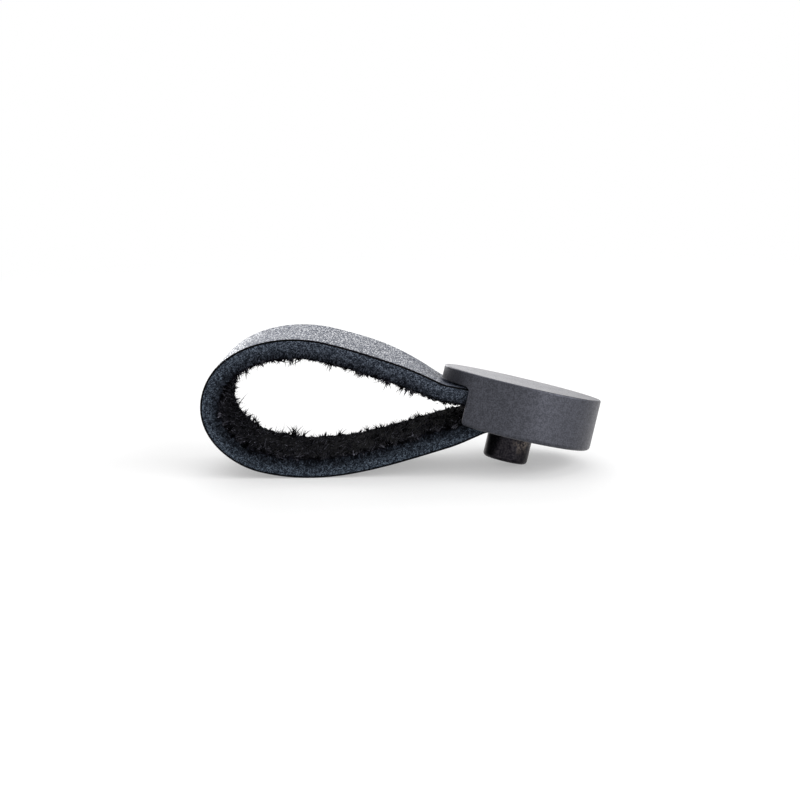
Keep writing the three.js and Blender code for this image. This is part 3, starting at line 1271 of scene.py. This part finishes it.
        # Each tuft's place along the strip, side, length, number of hairs, lean and radius.
        for place, side, length, count, lean, radius in (
            (66.5, -1, 2.6, 5, 0.55, 0.1),
            (64.5, -1, 1.6, 9, 0.2, 0.14),
            (80.3, 1, 3.4, 2, -0.6, 0.1),
            (86.2, 1, 3.6, 2, -0.62, 0.1),
            (86.2, 1, 1.8, 6, -0.62, 0.17),
            (54.5, -1, 1.9, 12, 0.1, 0.13),
            (94.6, 1, 2.7, 14, 0.1, 0.17),
            (96.5, 1, 2.2, 10, 0.4, 0.14),
            (103.8, 1, 2.2, 10, 0.7, 0.14),
            (110.0, 1, 1.7, 10, -0.2, 0.13),
            (36.0, -1, 1.4, 12, 0.6, 0.12),
            (42.0, -1, 1.5, 12, -0.5, 0.12),
        ):
            for _ in range(count):
                root = (place + chance.normal(0.0, 0.22), side * (9.6 - chance.uniform(0.0, 0.7)), lie)
                way = (lean + chance.normal(0.0, 0.2), side * chance.uniform(-0.1, 0.2), -1.0)
                curl = (chance.normal(0.0, 0.7), chance.normal(0.0, 0.2), chance.normal(0.0, 0.2))
                size = length * chance.uniform(0.45, 1.0)
                yield Strand(root, way, curl, size, radius * chance.uniform(0.6, 1.1), self.hair_shade)
        # Single curled hairs: place along the strip, way, curl and length.
        for place, way, curl, length in (
            (58.4, (-1.0, -0.05, -0.5), (0.0, 0.0, 0.75), 3.84),
            (57.6, (-0.9, -0.05, -0.75), (-0.3, 0.0, 0.8), 3.12),
            (52.6, (0.7, -0.05, -0.8), (0.5, 0.0, 0.4), 2.4),
        ):
            yield Strand((place, -9.6, lie), way, curl, length, 0.12, self.hair_shade)

    def _profile(self) -> Piece:
        """Makes the three-sided section that each strand is drawn with.

        Returns:
            The section, as a curve.
        """
        curve = bpy.data.curves.new("strand_section", "CURVE")
        ring = curve.splines.new("POLY")
        ring.points.add(2)
        for index, spot in enumerate(ring.points):
            angle = index * 2 * math.pi / 3
            spot.co = (math.cos(angle), math.sin(angle), 0.0, 1.0)
        ring.use_cyclic_u = True
        return link_object("strand_section", curve)

    def _combed(self, strands: Sequence[Strand], knots: int) -> tuple[Points, Points]:
        """Works out where each strand's knots lie once the strip is folded.

        Args:
            strands: The strands on the flat strip.
            knots: Number of points along each.

        Returns:
            The places in metres, and each knot's radius.
        """
        root, way, curl, length, radius, _ = (np.array(column) for column in zip(*strands))
        way /= np.linalg.norm(way, axis=1, keepdims=True)
        t = np.linspace(0.0, 1.0, knots)
        out = t[None, :, None]
        flat = root[:, None] + (way[:, None] * out + curl[:, None] * out**2 * 0.5) * length[:, None, None]
        taper = np.maximum(1.0 - t**1.5, 0.06)
        placed = self.pose.set_down(self.line.fold(flat.reshape(-1, 3)))
        return placed.reshape(len(strands), knots, 3), radius[:, None] * taper[None] * MM

    def build(self, name: str, strands: Iterable[Strand], finish: Finish, knots: int = 3) -> list[Piece]:
        """Draws strands as meshes of a limited size and dresses them.

        Args:
            name: Start of the pieces' names.
            strands: The strands to draw.
            finish: Their finish.
            knots: Number of points along each.

        Returns:
            The pieces.
        """
        section = self._profile()
        strands = list(strands)
        pieces = []
        count = math.ceil(len(strands) / self.per_piece)
        for part in range(count):
            chosen = strands[part::count]
            curve = setup(
                bpy.data.curves.new(name, "CURVE"), dimensions="3D", bevel_mode="OBJECT", bevel_object=section,
                use_fill_caps=True, resolution_u=1,
            )
            for places, sizes in zip(*self._combed(chosen, knots)):
                strand = curve.splines.new("POLY")
                strand.points.add(knots - 1)
                strand.points.foreach_set("co", np.hstack([places, np.ones((knots, 1))]).ravel())
                strand.points.foreach_set("radius", sizes)
            piece = settle(link_object(f"{name}_{part + 1}" if count > 1 else name, curve))
            dress(piece, finish)
            size = len(piece.data.vertices)
            tones = np.repeat([strand.tone for strand in chosen], round(size / len(chosen)))
            note(piece.data, "tone", "FLOAT", np.resize(tones, size))
            pieces.append(piece)
        bpy.data.objects.remove(section)
        return pieces


@dataclass
class Studio:
    """Pale floor, soft light and the camera at the photograph's angle.

    Each lamp is a name, its place and side in millimetres, and its power in watts.
    """

    camera_place: Spot = (11.41, -305.465, 69.349)
    camera_look: Spot = (-0.038757, 0.9824, -0.182768)
    camera_right: Spot = (0.99914, 0.0352, -0.02267)
    focal_pixels: float = 1649.0
    frame_pixels: float = 800.0
    sensor_width: float = 36.0
    floor_reach: float = 4000.0
    floor_fade: Pair = (70.0, 400.0)
    floor_glow: Pair = (0.35, 1.0)
    floor_colour: Colour = (0.96, 0.96, 0.96, 1.0)
    floor_bounce: Colour = (0.45, 0.45, 0.45, 1.0)
    world_level: float = 0.58
    lamps: tuple[tuple[str, Spot, float, float], ...] = (
        ("soft_right", (620.0, -320.0, 120.0), 1000.0, 9.4),
        ("soft_top", (-60.0, 60.0, 700.0), 600.0, 1.0),
        ("soft_back", (-150.0, 860.0, 460.0), 760.0, 4.2),
        ("soft_left", (-330.0, 850.0, 110.0), 200.0, 0.8),
    )

    def camera(self) -> None:
        """Places the camera."""
        lens = self.sensor_width * self.focal_pixels / self.frame_pixels
        data = bpy.data.cameras.new("camera")
        setup(data, sensor_width=self.sensor_width, lens=lens, clip_start=0.01, clip_end=50.0)
        eye = link_object("camera", data)
        back = -Vector(self.camera_look).normalized()
        right = Vector(self.camera_right)
        right = (right - back * right.dot(back)).normalized()
        turn = Matrix((right, back.cross(right), back)).transposed().to_4x4()
        eye.matrix_world = Matrix.Translation(Vector(self.camera_place) * MM) @ turn
        bpy.context.scene.camera = eye

    def light(self) -> None:
        """Lights the scene evenly, with soft lamps that face the handle and a white background."""
        world = setup(bpy.data.worlds.new("studio"), use_nodes=True)
        bpy.context.scene.world = world
        board = NodeBoard(world.node_tree)
        level = board.plus(self.world_level, board.seen(), 1.0 - self.world_level)
        board.feed(world.node_tree.nodes["Background"], {"Color": WHITE, "Strength": level})
        for name, place, size, power in self.lamps:
            data = setup(bpy.data.lights.new(name, "AREA"), shape="SQUARE", size=size * MM, energy=power)
            lamp = link_object(name, data)
            lamp.location = Vector(place) * MM
            lamp.rotation_euler = lamp.location.to_track_quat("Z", "Y").to_euler()

    def floor(self) -> Piece:
        """Lays a wide floor whose far parts fade into the white background.

        Returns:
            The floor.
        """
        shape = bmesh.new()
        bmesh.ops.create_circle(shape, cap_ends=True, segments=96, radius=self.floor_reach * MM)
        floor = mesh_object("floor", shape)
        material, board, shader = new_material("pale_floor")
        seen = board.seen()
        tone = board.blend(seen, self.floor_bounce, self.floor_colour)
        board.feed(shader, {"Base Color": tone, "Roughness": 0.9, "Specular IOR Level": 0.1})
        away = board.vector("LENGTH", board.own_place())
        share = board.remap(away, self.floor_fade[0] * MM, self.floor_fade[1] * MM, *self.floor_glow)
        glow = board.add("Emission", {"Color": WHITE, "Strength": 1.0})
        inputs = {0: board.math("MULTIPLY", share, seen), 1: shader.outputs[0], 2: glow.outputs[0]}
        mix = board.add("MixShader", inputs)
        board.feed(material.node_tree.nodes["Material Output"], {"Surface": mix.outputs[0]})
        floor.data.materials.append(material)
        return floor

    def build(self) -> Piece:
        """Sets up the camera, the light and the floor.

        Returns:
            The floor.
        """
        bpy.context.scene.view_settings.view_transform = "Standard"
        self.camera()
        self.light()
        return self.floor()


def main() -> None:
    """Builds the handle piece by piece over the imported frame."""
    logging.basicConfig(level=logging.INFO, format="%(message)s")
    cad_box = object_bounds()
    Studio().build()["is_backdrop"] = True

    patterns = PatternGroups()
    coat = SatinCoat().material(patterns)
    # The boss and its thread: the cap's coat drawn darker, as painted shade under the cap, with a pale brownish
    # patch painted on the side where light falls, as a highlight.
    boss_shade_and_highlight_coat = SatinCoat(
        colour=linear(31, 30, 34), fleck=linear(52, 50, 53), roughness=0.36, speck_size=0.32,
        highlight_spot=(22.4, -4.0, 4.6), highlight_reach=2.8, name="boss_coat_painted_shade_and_highlight",
    ).material(patterns)
    cap_pieces = MetalCap().build(coat, boss_shade_and_highlight_coat)
    for piece in cap_pieces:
        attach(piece, "root")
        log.info("%s: %d faces", piece.name, len(piece.data.polygons))
    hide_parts("cap")

    strap = LeatherStrap().build(GrainFinish().material(patterns), RawFinish().material(patterns))
    nap = FleshNap()
    flesh_fibre = FibreFinish().material(patterns)
    # The cut fuzz's paler strands are likewise partly paler fibres and partly painted glints.
    edge_fibre = FibreFinish(dark=linear(16, 18, 22), pale=linear(120, 128, 138), name="leather_cut_fibre")
    leather = [strap]
    leather += nap.build("strap_nap", nap.flesh(), flesh_fibre, knots=4)
    leather += nap.build("strap_lint", nap.lint(), flesh_fibre, knots=5)
    leather += nap.build("strap_fringe", nap.fringe(), flesh_fibre)
    leather += nap.build("strap_cut_fuzz", nap.cut_fuzz(), edge_fibre.material(patterns))
    leather += nap.build("strap_hairs", nap.hairs(), flesh_fibre, knots=6)
    for piece in leather:
        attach(piece, "root")
        log.info("%s: %d faces", piece.name, len(piece.data.polygons))
    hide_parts("strap")

    boxes = {"cad": cad_box, "visual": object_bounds()}
    plain = {name: [[float(c) for c in corner] for corner in box] for name, box in boxes.items()}
    for name, box in plain.items():
        log.info("%s box in mm: %s", name, [[round(c * 1000, 2) for c in corner] for corner in box])


if __name__ == "__main__":
    main()
